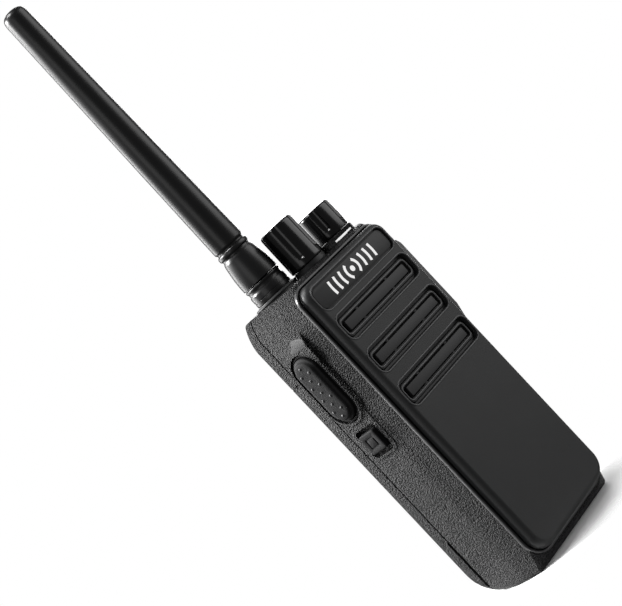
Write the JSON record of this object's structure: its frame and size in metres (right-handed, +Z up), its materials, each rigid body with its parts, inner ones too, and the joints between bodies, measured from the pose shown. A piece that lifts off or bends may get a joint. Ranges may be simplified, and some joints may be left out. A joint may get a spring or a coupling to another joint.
{
  "type": "two way radio",
  "caption": "Handheld two way radio in black plastic with a slotted speaker panel, side talk key, top knobs, a tapering antenna and a clip on its battery",
  "frame": {"origin": "Middle of the bounding box on the plane the radio stands on", "axes": "+Z up along the antenna, -Y the way the speaker panel faces, +X the side with the accessory socket cover"},
  "size_m": [0.0572, 0.0464, 0.2499],
  "materials": {
    "grained_black": "fine moulded leather grain",
    "satin_black": "smooth satin",
    "gloss_black": "smooth semi-gloss",
    "knob_black": "smooth semi-gloss",
    "rubber_black": "soft satin",
    "louvre_grey": "fine satin",
    "cloth_black": "woven acoustic cloth",
    "switch_grey": "moulded",
    "board_green": "solder mask",
    "light_white": "translucent moulding",
    "cell_silver": "foil wrap",
    "tin_plate": "tin plated",
    "steel": "turned",
    "cast_grey": "die cast",
    "brass": "turned"
  },
  "bodies": {
    "radio": {"main_housing": "grained_black", "front_panel": "satin_black", "name_plate": "gloss_black", "grille_insert": "louvre_grey", "grille_cloth": "cloth_black", "speaker_frame": "tin_plate", "speaker_cone": "cloth_black", "speaker_magnet": "tin_plate", "microphone": "tin_plate", "main_board": "board_green", "shield_can": "tin_plate", "control_board": "board_green", "side_board": "board_green", "volume_switch": "switch_grey", "volume_nut": "steel", "channel_switch": "switch_grey", "channel_nut": "steel", "volume_collar": "satin_black", "status_light_pipe": "light_white", "status_led": "light_white", "antenna_socket": "brass", "antenna_flange": "satin_black", "talk_surround": "rubber_black", "talk_switch": "switch_grey", "monitor_switch": "switch_grey", "cover_anchor": "rubber_black", "cover_screw": "steel", "socket_block": "switch_grey", "rear_chassis": "cast_grey", "contact_block": "switch_grey", "upper_back_cover": "grained_black", "back_screw_left": "steel", "back_screw_right": "steel", "latch_spring": "steel"},
    "volume_control": {"volume_knob": "knob_black", "volume_shaft": "steel"},
    "channel_control": {"channel_knob": "knob_black", "channel_shaft": "steel"},
    "antenna": {"antenna_base": "gloss_black", "antenna_sheath": "rubber_black", "antenna_core": "brass"},
    "talk": {"talk_key": "rubber_black"},
    "monitor": {"monitor_key": "satin_black"},
    "cover": {"socket_cover": "rubber_black"},
    "latch": {"battery_latch": "satin_black"},
    "battery": {"battery_case": "grained_black", "battery_lid": "satin_black", "battery_pad_1": "brass", "battery_pad_2": "brass", "battery_pad_3": "brass", "battery_cell": "cell_silver", "battery_board": "board_green", "clip_bracket": "satin_black", "clip_screw_left": "steel", "clip_screw_right": "steel", "clip_pin": "steel"},
    "clip": {"belt_clip": "satin_black", "clip_spring": "steel"}
  },
  "joints": [
    {"name": "volume_turn", "type": "hinge", "parent": "radio", "child": "volume_control", "pos_m": [-0.002, -0.0102, 0.131], "axis": [0, 0, -1], "range_deg": [0, 280]},
    {"name": "channel_turn", "type": "hinge", "parent": "radio", "child": "channel_control", "pos_m": [0.0148, -0.0102, 0.13], "axis": [0, 0, -1], "range_deg": [0, 337.5]},
    {"name": "antenna_unscrew", "type": "hinge", "parent": "radio", "child": "antenna", "pos_m": [-0.0141, -0.0014, 0.126], "axis": [0, 0, 1], "range_deg": [0, 360]},
    {"name": "talk_press", "type": "slide", "parent": "radio", "child": "talk", "axis": [1, 0, 0], "range_m": [0, 0.0012], "stiffness_N_per_m": 900},
    {"name": "monitor_press", "type": "slide", "parent": "radio", "child": "monitor", "axis": [1, 0, 0], "range_m": [0, 0.0008], "stiffness_N_per_m": 900},
    {"name": "cover_swing", "type": "hinge", "parent": "radio", "child": "cover", "pos_m": [0.027, -0.0062, 0.09], "axis": [0, 0, 1], "range_deg": [0, 115]},
    {"name": "latch_slide", "type": "slide", "parent": "radio", "child": "latch", "axis": [0, 0, 1], "range_m": [0, 0.002], "stiffness_N_per_m": 600},
    {"name": "battery_tilt", "type": "hinge", "parent": "radio", "child": "battery", "pos_m": [-0.0006, 0.0076, 0.0006], "axis": [-1, 0, 0], "range_deg": [0, 25]},
    {"name": "clip_open", "type": "hinge", "parent": "battery", "child": "clip", "pos_m": [-0.0006, 0.019, 0.082], "axis": [1, 0, 0], "range_deg": [0, 20], "stiffness_Nm_per_rad": 0.08}
  ]
}
